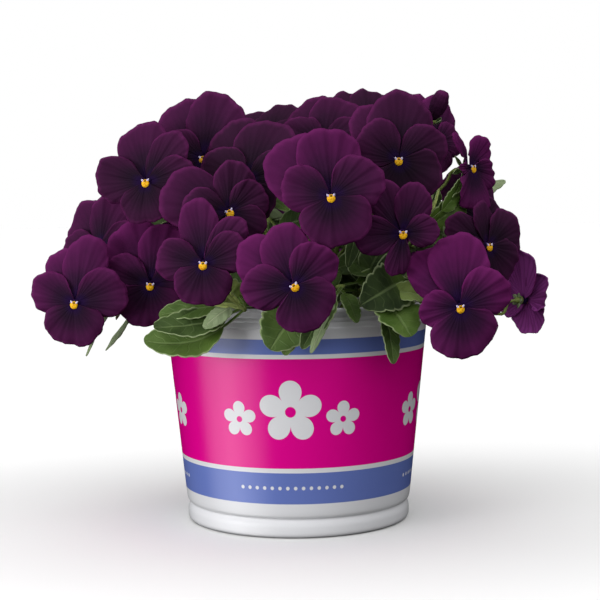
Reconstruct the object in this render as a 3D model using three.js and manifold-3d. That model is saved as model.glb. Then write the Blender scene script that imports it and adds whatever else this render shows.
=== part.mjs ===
// Potted pansy planter: a printed plastic nursery tub, the growing mix in it, the leafy pansy
// stems rooted in that mix, and the dark purple blooms and buds that their stalks carry.
// Millimetres, +Z up. The origin is on the tub's axis, at the underside of its base, and -Y is
// the side that faces the viewer. Azimuths are in degrees from -Y towards +X.
import * as THREE from 'three';
import { mergeVertices } from 'three/addons/utils/BufferGeometryUtils.js';
import Module from 'manifold-3d';

const wasm = await Module();
wasm.setup();

// Tub: heights of its printed bands and its outer radii there.
const RIM_TOP = 139;
const RIM_RADIUS = 83.6;
const COLLAR_STEP = { radius: 83.2, height: 127.2 };
const PRINT_TOP = { radius: 82.6, height: 120.9 };
const PRINT_BOTTOM = { radius: 72.4, height: 21.2 };
const GROOVE = { radius: 69.4, height: 11.1 };
const FOOT_RADIUS = 71;
const WALL = 1.6;
const CENTRE_PAD_RADIUS = 30;
const CHANNEL = { inner: 33, outer: 58, lift: 3 };
const FOOT_INNER_RADIUS = 61;
const FLOOR_HEIGHT = CHANNEL.lift + WALL;
const DRAIN_HOLES = 6;
const DRAIN_HOLE_RADIUS = 4.5;
const TUB_SIDES = 28;

// Growing mix: its surface at the wall and in the middle, and the room left round each piece.
const MIX_EDGE_HEIGHT = 124;
const MIX_CROWN_HEIGHT = 130;
const GAP = 0.3;
const STEM_ROOT_HEIGHT = 117;
const STEM_HOLE_RADIUS = 2.8;

// Stems and leaves.
const STEM_RADIUS = 1.7;
const STALK_RADIUS = 1.0;
const HIGH_FLOWER = 200;
const LEAF_THICKNESS = 0.7;
const PETIOLE_WIDTH = 2.2;
const LEAF_STATIONS = [0.34, 0.5, 0.66, 0.82];
const NOTCH_DEPTH = 0.17;

const SEAM_TOLERANCE = 0.1;

// Blooms: a core that carries five petals in their layers, and the calyx behind it.
const PETAL_THICKNESS = 0.8;
const PETAL_MIDDLE = 0.6;
const PETAL_MIDDLE_POINTS = 3;
const PETAL_EDGE_POINTS = 6;
const PETAL_ROOT = 0.05;
const SWELL = 1.3;
const CORE = { front: 1.2, back: -4.6, frontRadius: 2.6, backRadius: 3.6, sides: 4 };
const CALYX = { front: -4.9, back: -10, frontRadius: 2.9, backRadius: 1.2, sides: 4 };

const radians = THREE.MathUtils.degToRad;

// A place given by its azimuth and radius round the tub's axis, and its height.
function around(azimuth, radius, height) {
  const a = radians(azimuth);
  return [radius * Math.sin(a), -radius * Math.cos(a), height];
}

// The five petals as seen from in front: each one's turn clockwise from straight up and half
// its angular width, in degrees, its length in half widths of the bloom, how square its outer
// end is, the layer that it lies in, in mm, and how it leans and curls forward, in degrees.
const PETALS = [
  { name: 'upper_left', turn: -25, spread: 62, length: 1.36, round: 0.55, layer: -3.1, lean: -5, curl: -7 },
  { name: 'upper_right', turn: 25, spread: 62, length: 1.36, round: 0.55, layer: -1.9, lean: -3, curl: -6 },
  { name: 'left', turn: -76, spread: 62, length: 1.0, round: 0.5, layer: -0.7, lean: 2, curl: -5 },
  { name: 'right', turn: 76, spread: 62, length: 1.0, round: 0.5, layer: -0.7, lean: 2, curl: -5 },
  { name: 'lip', turn: 180, spread: 80, length: 0.93, round: 0.3, layer: 0.5, lean: 6, curl: -6 },
];

// Each bloom: the place of its eye, the azimuth and elevation that it faces, the clockwise turn
// of its petals, its half width, and where it differs, how far its petals are folded back, in
// degrees, and each petal's turn, spread, length and, last, how square its outer end is.
const BLOOMS = [
  // The side that faces the viewer, from the left.
  {
    at: [-131, -72, 143], face: [-10, -3], turn: 7, size: 29.5,
    petals: [[-32, 42, 1.16], [5, 50, 1.38, 0.75], [-73, 50, 1], [60, 54, 1.08], [180, 78, 0.9]],
  },
  {
    at: [-122, -30, 174], face: [-20, 8], turn: -6, size: 30,
    petals: [[-36, 60, 1.18, 0.4], [18, 52, 1.1], [-82, 50, 0.9], [78, 50, 0.95], [180, 78, 0.9]],
  },
  {
    at: [-87, -78, 214], face: [-14, 6], turn: -5, size: 29,
    petals: [[-6, 48, 1.34], [36, 40, 1.2], [-78, 46, 1.14], [78, 44, 1], [186, 64, 0.88]],
  },
  { at: [-87, -64, 153], face: [4, -10], turn: 5, size: 29.5 },
  {
    at: [-52, -112, 167], face: [-4, 0], turn: 2, size: 27,
    petals: [[-13, 42, 1.4, 0.62], [38, 36, 1.27, 0.7], [-84, 50, 1.04], [68, 50, 1.02], [183, 78, 0.9]],
  },
  {
    at: [-55, -54, 228], face: [-6, 6], turn: -7, size: 29.5,
    petals: [[-26, 52, 1.44], [22, 54, 1.44], [-60, 52, 0.95], [78, 48, 0.8], [180, 72, 0.9]],
  },
  {
    at: [-38, -92, 196], face: [12, 4], turn: -24, size: 27,
    petals: [[-38, 54, 1.5], [36, 50, 1.16], [-56, 50, 1.02], [84, 52, 0.98], [166, 70, 0.9]],
  },
  { at: [-28, -74, 215], face: [-8, 6], turn: 4, size: 29 },
  {
    at: [-1, -125, 155], face: [3, -4], turn: -33, size: 27,
    petals: [[-20, 54, 1.38], [16, 50, 1.3], [-65, 52, 1.07], [76, 58, 1.07], [174, 74, 1]],
  },
  {
    at: [20, -121, 204], face: [3, 4], turn: -4, size: 31,
    petals: [[-46, 60, 1.4], [6, 58, 1.28], [-70, 54, 0.94], [64, 56, 1.03], [174, 78, 0.96]],
  },
  { at: [-17, 8, 243], face: [-6, 36], turn: -6, size: 27 },
  { at: [17, -46, 236], face: [-2, 22], turn: 6, size: 28 },
  { at: [48, 4, 252], face: [6, 36], turn: -8, size: 25 },
  {
    at: [60, -86, 225], face: [6, -2], turn: 0, size: 29,
    petals: [[-32, 54, 1.28], [6, 60, 1.4], [-54, 62, 0.96], [70, 58, 1.06], [158, 88, 1]],
  },
  {
    at: [61, -104, 183], face: [8, -4], turn: 0, size: 25.5,
    petals: [[-24, 44, 1.3, 0.8], [28, 46, 1.16], [-98, 48, 1.08], [86, 50, 0.84], [188, 32, 1, 0.5]],
  },
  {
    at: [94, -98, 140], face: [8, -4], turn: -4, size: 29,
    petals: [[-32, 46, 1.34], [8, 52, 1.46], [-92, 56, 0.8], [64, 54, 1.1], [170, 70, 1.05]],
  },
  {
    at: [88, -28, 237], face: [34, 14], turn: 4, size: 26,
    petals: [[-25, 60, 1.36], [25, 60, 1.34], [-74, 60, 1], [74, 56, 0.94], [192, 66, 0.76]],
  },
  {
    at: [115, -62, 174], face: [40, 0], turn: 0, size: 24,
    petals: [[-54, 44, 1.26], [10, 48, 1.15], [-100, 44, 0.92], [70, 52, 1.34], [146, 70, 1.2]],
  },
  {
    at: [108, -40, 221], face: [48, 4], turn: 0, size: 20, back: -5,
    petals: [[-10, 14, 1.15], [50, 50, 1.3], [-96, 34, 0.6], [106, 48, 1.2], [192, 58, 1.4]],
  },
  {
    at: [116, -18, 189], face: [44, 8], turn: 10, size: 25,
    petals: [[-26, 58, 1.42], [26, 56, 1.4], [-74, 58, 1.1], [74, 58, 1.1], [180, 80, 1]],
  },
  { at: [141, -32, 139], face: [122, 0], turn: 12, size: 26 },
  // Round the back, low and then high.
  { at: around(-98, 138, 150), face: [-98, 4], turn: 8, size: 29 },
  { at: around(-128, 132, 158), face: [-126, 6], turn: -10, size: 28 },
  { at: around(-160, 130, 150), face: [-160, 2], turn: 5, size: 29 },
  { at: around(168, 134, 160), face: [168, 6], turn: -12, size: 29 },
  { at: around(138, 132, 152), face: [138, 2], turn: 14, size: 28 },
  { at: around(110, 128, 176), face: [106, 10], turn: -4, size: 27 },
  { at: around(-106, 106, 206), face: [-106, 18], turn: -14, size: 29 },
  { at: around(-144, 104, 204), face: [-144, 22], turn: 12, size: 28 },
  { at: around(178, 104, 208), face: [178, 22], turn: -6, size: 29 },
  { at: around(142, 104, 206), face: [142, 20], turn: 6, size: 28 },
  { at: around(-148, 66, 228), face: [-150, 44], turn: 10, size: 27 },
  { at: around(144, 68, 233), face: [144, 42], turn: -8, size: 27 },
];

// Buds: the tip of each one and the way it points.
const BUDS = [
  { at: [84, -60, 254], face: [52, 62] },
  { at: around(-170, 76, 240), face: [-160, 50] },
];

// Leafy stems: each one's points above the growing mix, from where it leaves it. Its leaves
// start at a share of its length. Each is given by its tip, its width, and where they differ
// from the usual, how far its upper face leans outward, the roll of the blade about its midrib
// in degrees, and the heights of its arch and of its sideways bend as shares of its length.
const STEMS = [
  // From the left of the side that faces the viewer, to the right.
  {
    through: [around(-68, 42, 0), around(-70, 64, 146), around(-70, 92, 150)],
    leaves: [
      { from: 1, tip: [-117, -45, 112], width: 12, outward: 2, arch: 0.04 },
      { from: 1, tip: [-127, -58, 110], width: 9, outward: 2, arch: 0.2, bend: -0.1 },
      { from: 0.5, tip: around(-88, 104, 146), width: 16 },
    ],
  },
  {
    through: [around(-38, 42, 0), around(-31, 62, 146), around(-19, 92, 139)],
    leaves: [
      { from: 1, tip: [-89, -84, 121], width: 24, outward: 2.4, arch: -0.04, bend: -0.15 },
      { from: 0.94, tip: [-82, -96, 130], width: 21, outward: 2, arch: 0.04, bend: -0.13 },
      { from: 0.92, tip: [-80, -85, 136], width: 16, outward: 1.6, arch: 0.12, bend: -0.06 },
      { from: 0.8, tip: [-49, -86, 157], width: 15, outward: 3 },
    ],
  },
  {
    through: [around(-8, 42, 0), around(0, 62, 146), around(6, 86, 148)],
    leaves: [
      { from: 1, tip: [-15, -102, 117], width: 27, outward: 2.6, arch: 0.08 },
      { from: 0.55, tip: [-24, -84, 158], width: 13 },
      { from: 0.9, tip: [10, -102, 180], width: 14, outward: 1 },
    ],
  },
  {
    through: [around(18, 44, 0), around(20, 62, 148), around(18, 88, 152)],
    leaves: [
      { from: 1, tip: [3, -109, 118], width: 12, outward: 2, arch: 0.1 },
      { from: 0.8, tip: [35, -91, 131], width: 10, outward: 2.6 },
    ],
  },
  {
    through: [around(40, 42, 0), around(38, 62, 147), around(31, 93, 147)],
    leaves: [
      { from: 1, tip: [66, -94, 123], width: 30, outward: 3.2, arch: 0.06 },
      { from: 0.9, tip: [56, -91, 107], width: 12, outward: 4, arch: 0.1 },
    ],
  },
  {
    through: [around(62, 42, 0), around(56, 62, 152), around(46, 92, 155)],
    leaves: [
      { from: 1, tip: [37, -100, 142], width: 27, outward: 3, arch: 0.1 },
      { from: 0.8, tip: [80, -70, 146], width: 13, outward: 2 },
    ],
  },
  {
    through: [around(84, 42, 0), around(72, 62, 156), around(52, 96, 186)],
    leaves: [
      { from: 0.97, tip: [106, -42, 206], width: 16, outward: 2.6 },
      { from: 0.95, tip: [85, -55, 209], width: 14, outward: 3 },
      { from: 0.92, tip: [89, -62, 178], width: 14, outward: 2.6 },
    ],
  },
  // Round the back, with the first one again on the right.
  {
    through: [around(106, 42, 0), around(100, 62, 160), around(94, 90, 184)],
    leaves: [
      { from: 1, tip: [137, 18, 214], width: 12, outward: 1.2 },
      { from: 0.6, tip: around(88, 116, 146), width: 17, outward: 0.8 },
    ],
  },
  {
    through: [around(132, 42, 0), around(130, 62, 144), around(122, 90, 148)],
    leaves: [
      { from: 1, tip: around(112, 118, 122), width: 20, outward: 1.5 },
      { from: 0.7, tip: around(142, 110, 138), width: 17 },
    ],
  },
  {
    through: [around(160, 42, 0), around(160, 62, 144), around(158, 88, 147)],
    leaves: [
      { from: 1, tip: around(160, 118, 122), width: 20, outward: 1.5 },
      { from: 0.7, tip: around(176, 108, 142), width: 17 },
    ],
  },
  {
    through: [around(-168, 42, 0), around(-166, 62, 144), around(-160, 88, 147)],
    leaves: [
      { from: 1, tip: around(-158, 118, 122), width: 19, outward: 1.5 },
      { from: 0.6, tip: around(-176, 108, 154), width: 15 },
    ],
  },
  {
    through: [around(-136, 42, 0), around(-134, 62, 144), around(-128, 88, 148)],
    leaves: [
      { from: 1, tip: around(-126, 118, 124), width: 20, outward: 1.5 },
      { from: 0.7, tip: around(-146, 110, 140), width: 17 },
    ],
  },
  {
    through: [around(-102, 42, 0), around(-102, 62, 146), around(-98, 86, 150)],
    leaves: [
      { from: 1, tip: around(-96, 118, 126), width: 18, outward: 1.5 },
      { from: 0.7, tip: around(-116, 108, 144), width: 15 },
    ],
  },
  // Upright, in the middle.
  {
    through: [around(-40, 15, 0), around(-40, 24, 165), around(-34, 36, 198)],
    leaves: [
      { from: 0.6, tip: [-62, -44, 186], width: 14 },
      { from: 1, tip: [-4, -76, 196], width: 12, outward: 1 },
      { from: 0.9, tip: [-30, -52, 216], width: 13, outward: 2 },
      { from: 0.85, tip: [-93, -55, 186], width: 14 },
    ],
  },
  {
    through: [around(70, 15, 0), around(66, 26, 165), around(50, 44, 196)],
    leaves: [
      { from: 1, tip: [30, -86, 163], width: 12, outward: 2, arch: 0.2 },
      { from: 0.8, tip: [70, 2, 206], width: 14 },
      { from: 0.95, tip: [44, -80, 208], width: 14, outward: 1 },
    ],
  },
  {
    through: [around(180, 16, 0), around(180, 26, 165), around(180, 36, 196)],
    leaves: [
      { from: 0.6, tip: around(160, 72, 180), width: 14 },
      { from: 1, tip: around(-150, 74, 204), width: 13 },
      { from: 0.9, tip: [-38, 34, 222], width: 14 },
    ],
  },
];

// A solid from a closed geometry, and a geometry from a solid.
function solidOf(geometry) {
  const bare = geometry.index ? geometry.toNonIndexed() : geometry.clone();
  bare.deleteAttribute('normal');
  bare.deleteAttribute('uv');
  const merged = mergeVertices(bare, 1e-4);
  return new wasm.Manifold(new wasm.Mesh({
    numProp: 3,
    vertProperties: new Float32Array(merged.attributes.position.array),
    triVerts: new Uint32Array(merged.index.array),
  }));
}

function geometryOf(solid) {
  const { vertProperties, triVerts } = solid.getMesh();
  const geometry = new THREE.BufferGeometry();
  geometry.setAttribute('position', new THREE.BufferAttribute(vertProperties, 3));
  geometry.setIndex(new THREE.BufferAttribute(triVerts, 1));
  const flat = geometry.toNonIndexed();
  flat.computeVertexNormals();
  return flat;
}

// Joins solids, and merges the slivers that are left along their seams.
function join(solids) {
  return solids.reduce((all, solid) => all.add(solid)).simplify(SEAM_TOLERANCE);
}

// A solid turned about the Z axis from [radius, height] points that start and end on it.
function turned(profile) {
  const points = profile.map(([radius, height]) => new THREE.Vector2(radius, height));
  return solidOf(new THREE.LatheGeometry(points, TUB_SIDES).rotateX(Math.PI / 2));
}

// The tub's inside face at a height, by which both the tub and the growing mix are shaped.
function innerRadius(height) {
  const share = (height - PRINT_BOTTOM.height) / (PRINT_TOP.height - PRINT_BOTTOM.height);
  return THREE.MathUtils.lerp(PRINT_BOTTOM.radius, PRINT_TOP.radius, share) - WALL;
}

// The tub turns round its axis: a flat pad in the middle of its underside, a raised channel
// round that with the drain holes in it, the foot, a groove, and the wall up to a rolled rim.
function makeTub() {
  const shell = turned([
    [0, 0],
    [CENTRE_PAD_RADIUS, 0],
    [CHANNEL.inner, CHANNEL.lift],
    [CHANNEL.outer, CHANNEL.lift],
    [FOOT_INNER_RADIUS, 0],
    [FOOT_RADIUS - 2.4, 0],
    [FOOT_RADIUS, 3],
    [FOOT_RADIUS, 7],
    [GROOVE.radius, GROOVE.height],
    [PRINT_BOTTOM.radius, PRINT_BOTTOM.height],
    [PRINT_TOP.radius, PRINT_TOP.height],
    [COLLAR_STEP.radius, COLLAR_STEP.height],
    [COLLAR_STEP.radius - 0.9, COLLAR_STEP.height + 0.7],
    [RIM_RADIUS, RIM_TOP - 1.8],
    [RIM_RADIUS - 1, RIM_TOP],
    [RIM_RADIUS - 2.6, RIM_TOP - 0.8],
    [innerRadius(COLLAR_STEP.height), COLLAR_STEP.height],
    [innerRadius(PRINT_BOTTOM.height), PRINT_BOTTOM.height],
    [GROOVE.radius - WALL, GROOVE.height],
    [GROOVE.radius - WALL - 2.4, FLOOR_HEIGHT],
    [0, FLOOR_HEIGHT],
  ]);
  const drain = new THREE.CylinderGeometry(DRAIN_HOLE_RADIUS, DRAIN_HOLE_RADIUS, 12, 8);
  const middle = (CHANNEL.inner + CHANNEL.outer) / 2;
  const holes = [];
  for (let i = 0; i < DRAIN_HOLES; i++) {
    const place = around((i * 360) / DRAIN_HOLES, middle, CHANNEL.lift);
    holes.push(solidOf(drain.clone().rotateX(Math.PI / 2).translate(...place)));
  }
  return holes.reduce((tub, hole) => tub.subtract(hole), shell);
}

function makeGrowingMix() {
  const profile = [
    [0, FLOOR_HEIGHT + GAP],
    [GROOVE.radius - WALL - 2.4 - GAP, FLOOR_HEIGHT + GAP],
    [innerRadius(PRINT_BOTTOM.height) - GAP, PRINT_BOTTOM.height],
    [innerRadius(MIX_EDGE_HEIGHT) - GAP, MIX_EDGE_HEIGHT],
    [52, MIX_EDGE_HEIGHT + 3],
    [0, MIX_CROWN_HEIGHT],
  ];
  const depth = 30;
  const hole = new THREE.CylinderGeometry(STEM_HOLE_RADIUS, STEM_HOLE_RADIUS, depth, 5);
  hole.rotateX(Math.PI / 2);
  const bottom = STEM_ROOT_HEIGHT - GAP;
  return STEMS.reduce((mix, stem) => {
    const [x, y] = stem.through[0];
    return mix.subtract(solidOf(hole.clone().translate(x, y, bottom + depth / 2)));
  }, turned(profile));
}

function geometryFrom(positions) {
  const geometry = new THREE.BufferGeometry();
  geometry.setAttribute('position', new THREE.Float32BufferAttribute(positions, 3));
  return geometry;
}

// A thin closed blade from rows of points on its middle surface. The rows may have any number
// of points, from one up, and each is joined to the next with a band of triangles. Both faces
// are split into the same triangles, half the thickness to each side.
function blade(rows, thickness) {
  const points = rows.flat();
  const triangles = [];
  let first = 0;
  for (let row = 0; row + 1 < rows.length; row++) {
    const next = first + rows[row].length;
    const [low, high] = [rows[row].length - 1, rows[row + 1].length - 1];
    let [i, j] = [0, 0];
    while (i < low || j < high) {
      if (i < low && (i + 1) * high <= (j + 1) * low) {
        triangles.push([first + i, first + i + 1, next + j]);
        i++;
      } else {
        triangles.push([first + i, next + j + 1, next + j]);
        j++;
      }
    }
    first = next;
  }
  const normals = points.map(() => new THREE.Vector3());
  const edges = new Map();
  for (const [a, b, c] of triangles) {
    const side = points[b].clone().sub(points[a]);
    const normal = side.cross(points[c].clone().sub(points[a]));
    for (const corner of [a, b, c]) normals[corner].add(normal);
    for (const [from, to] of [[a, b], [b, c], [c, a]]) {
      if (!edges.delete(`${to} ${from}`)) edges.set(`${from} ${to}`, [from, to]);
    }
  }
  const positions = [];
  const half = normals.map((normal) => normal.normalize().multiplyScalar(thickness / 2));
  const front = points.map((point, i) => point.clone().add(half[i]));
  const back = points.map((point, i) => point.clone().sub(half[i]));
  const face = (...corners) => corners.forEach((p) => positions.push(p.x, p.y, p.z));
  for (const [a, b, c] of triangles) {
    face(front[a], front[b], front[c]);
    face(back[a], back[c], back[b]);
  }
  for (const [from, to] of edges.values()) {
    face(front[from], back[from], back[to]);
    face(front[from], back[to], front[to]);
  }
  return solidOf(geometryFrom(positions));
}

// A closed tube of a few sides through points, with a ring of corners at each of them.
function tube(points, radius, sides) {
  const side = new THREE.Vector3(1, 0, 0);
  const rings = points.map((point, i) => {
    const before = points[Math.max(i - 1, 0)];
    const after = points[Math.min(i + 1, points.length - 1)];
    const along = after.clone().sub(before).normalize();
    side.addScaledVector(along, -side.dot(along)).normalize();
    const other = along.cross(side);
    return Array.from({ length: sides }, (_, k) => {
      const a = (k * 2 * Math.PI) / sides;
      return point.clone()
        .addScaledVector(side, radius * Math.cos(a))
        .addScaledVector(other, radius * Math.sin(a));
    });
  });
  const positions = [];
  const face = (...corners) => corners.forEach((p) => positions.push(p.x, p.y, p.z));
  for (let i = 0; i + 1 < rings.length; i++) {
    for (let k = 0; k < sides; k++) {
      const [low, high, next] = [rings[i], rings[i + 1], (k + 1) % sides];
      face(low[k], low[next], high[next]);
      face(low[k], high[next], high[k]);
    }
  }
  const [first, last] = [rings[0], rings[rings.length - 1]];
  for (let k = 1; k + 1 < sides; k++) {
    face(first[0], first[k + 1], first[k]);
    face(last[0], last[k], last[k + 1]);
  }
  return solidOf(geometryFrom(positions));
}

// A bloom's own frame: its eye at the origin, facing along +Z, with its upper petals along +Y.
function bloomFrame({ at, face }) {
  const [azimuth, elevation] = face.map(radians);
  const facing = new THREE.Vector3(
    Math.sin(azimuth) * Math.cos(elevation),
    -Math.cos(azimuth) * Math.cos(elevation),
    Math.sin(elevation),
  );
  const up = new THREE.Vector3(0, 0, 1).addScaledVector(facing, -facing.z).normalize();
  const across = up.clone().cross(facing);
  return new THREE.Matrix4().makeBasis(across, up, facing).setPosition(...at);
}

// The five petals of a bloom: the plain ones, with what it gives for each of its own.
function petalsOf(bloom) {
  return PETALS.map((petal, i) => {
    const [turn, spread, length, round] = bloom.petals?.[i] ?? [];
    const own = { turn, spread, length, round };
    for (const [key, value] of Object.entries(own)) own[key] = value ?? petal[key];
    return { ...petal, ...own };
  });
}

// How far a petal reaches in a direction, from -1 to 1 across it, as a share of its length.
function petalOutline(petal, across) {
  const rounded = Math.cos(radians(84 * across)) ** petal.round;
  const notch = petal.name === 'lip' ? 0.07 * Math.exp(-((across / 0.2) ** 2)) : 0;
  return rounded - notch;
}

// A point of a petal in its bloom's frame: across from -1 to 1, out from 0 at its root to 1.
function petalPoint(petal, bloom, index, across, out) {
  const turn = radians(petal.turn + (bloom.turn ?? 0) + petal.spread * across);
  const reach = bloom.size * petal.length * petalOutline(petal, across) * out;
  const fold = bloom.back ?? 0;
  const bend = radians(petal.lean - fold + (petal.curl - fold) * out);
  const waves = Math.sin(3 * turn + index * 2.4) + 0.7 * Math.sin(2 * turn + index * 1.7)
    + 0.4 * Math.sin(5 * turn + index * 3.1);
  const swell = SWELL * (reach / bloom.size) ** 2 * waves;
  return new THREE.Vector3(
    reach * Math.cos(bend) * Math.sin(turn),
    reach * Math.cos(bend) * Math.cos(turn),
    petal.layer + reach * Math.sin(bend) + swell,
  );
}

function makeBloom(bloom, index) {
  const height = CORE.front - CORE.back;
  const core = new THREE.CylinderGeometry(CORE.frontRadius, CORE.backRadius, height, CORE.sides);
  core.rotateX(Math.PI / 2).translate(0, 0, (CORE.front + CORE.back) / 2);
  const solids = [solidOf(core)];
  for (const petal of petalsOf(bloom)) {
    const row = (out, count) => Array.from({ length: count }, (_, i) => {
      const across = count === 1 ? 0 : 1 - (2 * i) / (count - 1);
      return petalPoint(petal, bloom, index, across, out);
    });
    const middle = row(PETAL_MIDDLE, PETAL_MIDDLE_POINTS);
    solids.push(blade([row(PETAL_ROOT, 1), middle, row(1, PETAL_EDGE_POINTS)], PETAL_THICKNESS));
  }
  return new THREE.Mesh(geometryOf(join(solids).transform(bloomFrame(bloom).elements)));
}

// A bud: a furled spindle of petals, which its calyx holds from behind.
function makeBud(bud) {
  const profile = [[0, -4.6], [3, -4.6], [4.4, 0], [4.6, 5], [3.4, 10], [1.6, 14], [0, 15]];
  const points = profile.map(([radius, height]) => new THREE.Vector2(radius, height));
  const spindle = new THREE.LatheGeometry(points, 7).rotateX(Math.PI / 2);
  return new THREE.Mesh(geometryOf(solidOf(spindle).transform(bloomFrame(bud).elements)));
}

const vector = (place) => new THREE.Vector3(...place);

// A stem's curve: straight up out of its hole for its first third, and then through its points.
function stemCurve({ through: [[x, y], ...rest] }) {
  const rise = [[x, y, STEM_ROOT_HEIGHT], [x, y, MIX_CROWN_HEIGHT + 3]];
  return new THREE.CatmullRomCurve3([...rise, ...rest].map(vector));
}

// The point that a stalk or a leaf leaves a stem at: 0 is where the stem comes out of the
// growing mix and 1 is at the stem's tip.
function stemPoint(curve, from) {
  return curve.getPoint((1 + 2 * from * 0.98) / 3);
}

// A leaf's blade in rows across it: a narrow petiole, a scalloped ovate blade and a blunt tip.
function leafBlade(start, leaf) {
  const tip = vector(leaf.tip);
  const chord = tip.clone().sub(start);
  const length = chord.length();
  chord.normalize();
  const outward = new THREE.Vector3(tip.x, tip.y, 0).normalize();
  const up = outward.multiplyScalar(leaf.outward ?? 0.5).add(new THREE.Vector3(0, 0, 1));
  up.addScaledVector(chord, -up.dot(chord)).normalize();
  up.applyAxisAngle(chord, radians(leaf.roll ?? 0));
  const side = chord.clone().cross(up);
  const arch = (leaf.arch ?? 0.12) * length;
  const bend = (leaf.bend ?? 0) * length;
  const place = (along, width) => start.clone()
    .addScaledVector(chord, along * length)
    .addScaledVector(up, arch * Math.sin(Math.PI * along) + Math.abs(width) * 0.22)
    .addScaledVector(side, width + bend * Math.sin(Math.PI * along));
  const row = (along, width) => [place(along, -width), place(along, 0), place(along, width)];
  const rows = [row(0, PETIOLE_WIDTH / 2)];
  LEAF_STATIONS.forEach((along, i) => {
    const share = (along - 0.2) / 0.8;
    const oval = Math.sin(Math.PI * share ** 0.8) ** 0.5;
    const scallop = i % 2 ? 1 - NOTCH_DEPTH : 1;
    rows.push(row(along, (leaf.width / 2) * oval * scallop));
  });
  rows.push([place(1, 0)]);
  return blade(rows, LEAF_THICKNESS);
}

// A stalk from its stem to the back of a flower's calyx, which it meets with a hooked neck.
function stalkAndCalyx(start, flower) {
  const frame = bloomFrame(flower);
  const behind = (distance, drop) => new THREE.Vector3(0, 0, -distance)
    .applyMatrix4(frame).add(new THREE.Vector3(0, 0, -drop));
  const neck = behind(-CALYX.back + 5, 1);
  const hook = behind(-CALYX.back + 10, 8);
  const halfway = start.clone().lerp(hook, 0.5);
  halfway.z = Math.max(halfway.z - 3, RIM_TOP + 7);
  const stalk = tube([start, halfway, hook, neck, behind(-CALYX.back - 2, 0)], STALK_RADIUS, 3);
  const length = CALYX.front - CALYX.back;
  const cup = new THREE.CylinderGeometry(CALYX.frontRadius, CALYX.backRadius, length, CALYX.sides);
  cup.rotateX(Math.PI / 2).translate(0, 0, (CALYX.front + CALYX.back) / 2).applyMatrix4(frame);
  return [stalk, solidOf(cup)];
}

// The stem that carries a flower: the nearest root, seen from above, to a point part way in,
// which is further in for the higher flowers.
function carrier(flower) {
  const share = flower.at[2] > HIGH_FLOWER ? 0.2 : 0.45;
  const inward = [flower.at[0] * share, flower.at[1] * share];
  const distance = ({ through: [[x, y]] }) => Math.hypot(x - inward[0], y - inward[1]);
  return STEMS.reduce((best, stem) => (distance(stem) < distance(best) ? stem : best));
}

function makeStem(stem) {
  const curve = stemCurve(stem);
  const bends = [0, 0.5, 0.75, 1].map((from) => stemPoint(curve, from));
  const solids = [tube([curve.getPoint(0), ...bends], STEM_RADIUS, 4)];
  for (const leaf of stem.leaves) solids.push(leafBlade(stemPoint(curve, leaf.from), leaf));
  const carried = [...BLOOMS, ...BUDS].filter((flower) => carrier(flower) === stem);
  carried.sort((one, other) => one.at[2] - other.at[2]);
  carried.forEach((flower, i) => {
    const from = 0.35 + (0.45 * i) / Math.max(1, carried.length - 1);
    solids.push(...stalkAndCalyx(stemPoint(curve, from), flower));
  });
  return new THREE.Mesh(geometryOf(join(solids)));
}

const petalPurple = new THREE.MeshStandardMaterial({ color: 0x4a1040, roughness: 0.75 });
const leafGreen = new THREE.MeshStandardMaterial({ color: 0x4f7a34, roughness: 0.6 });
const tubWhite = new THREE.MeshStandardMaterial({ color: 0xe6e6e8, roughness: 0.35 });
const mixBrown = new THREE.MeshStandardMaterial({ color: 0x2c2019, roughness: 0.95 });

const planter = new THREE.Group();

function add(name, mesh, material) {
  mesh.name = name;
  mesh.material = material;
  planter.add(mesh);
}

const numbered = (name, i) => `${name}_${String(i + 1).padStart(2, '0')}`;

add('tub', new THREE.Mesh(geometryOf(makeTub())), tubWhite);
add('growing_mix', new THREE.Mesh(geometryOf(makeGrowingMix())), mixBrown);
STEMS.forEach((stem, i) => add(numbered('leafy_stem', i), makeStem(stem), leafGreen));
BLOOMS.forEach((bloom, i) => add(numbered('bloom', i), makeBloom(bloom, i), petalPurple));
BUDS.forEach((bud, i) => add(numbered('bud', i), makeBud(bud), petalPurple));

export default planter;
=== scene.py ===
import math
import random

import bpy
import numpy as np
from mathutils import Matrix, Vector, noise


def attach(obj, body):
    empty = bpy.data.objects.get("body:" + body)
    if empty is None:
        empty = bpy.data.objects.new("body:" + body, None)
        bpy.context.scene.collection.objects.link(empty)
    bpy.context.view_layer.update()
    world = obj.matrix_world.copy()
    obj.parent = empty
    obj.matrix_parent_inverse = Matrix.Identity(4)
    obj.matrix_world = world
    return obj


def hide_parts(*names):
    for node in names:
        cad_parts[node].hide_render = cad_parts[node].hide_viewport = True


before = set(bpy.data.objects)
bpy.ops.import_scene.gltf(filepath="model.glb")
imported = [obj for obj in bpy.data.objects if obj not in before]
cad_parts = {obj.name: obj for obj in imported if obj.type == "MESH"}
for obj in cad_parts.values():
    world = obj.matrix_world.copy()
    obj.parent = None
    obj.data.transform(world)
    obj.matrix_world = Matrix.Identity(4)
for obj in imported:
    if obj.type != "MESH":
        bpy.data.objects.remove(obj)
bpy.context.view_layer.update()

MM = 0.001

# Seeds. The number of a bloom or of a stem is added to its own.
MIX_SEED = 5
BLOOM_SEED = 100
STEM_SEED = 300
INNER_LEAF_SEED = 500

# Camera.
CAMERA_PLACE = (0.00227, -0.9255, 0.2009)
CAMERA_LENS = 86.8
CAMERA_SENSOR = 36.0
CAMERA_PITCH = 3.85
CAMERA_ROLL = -0.613

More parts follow.
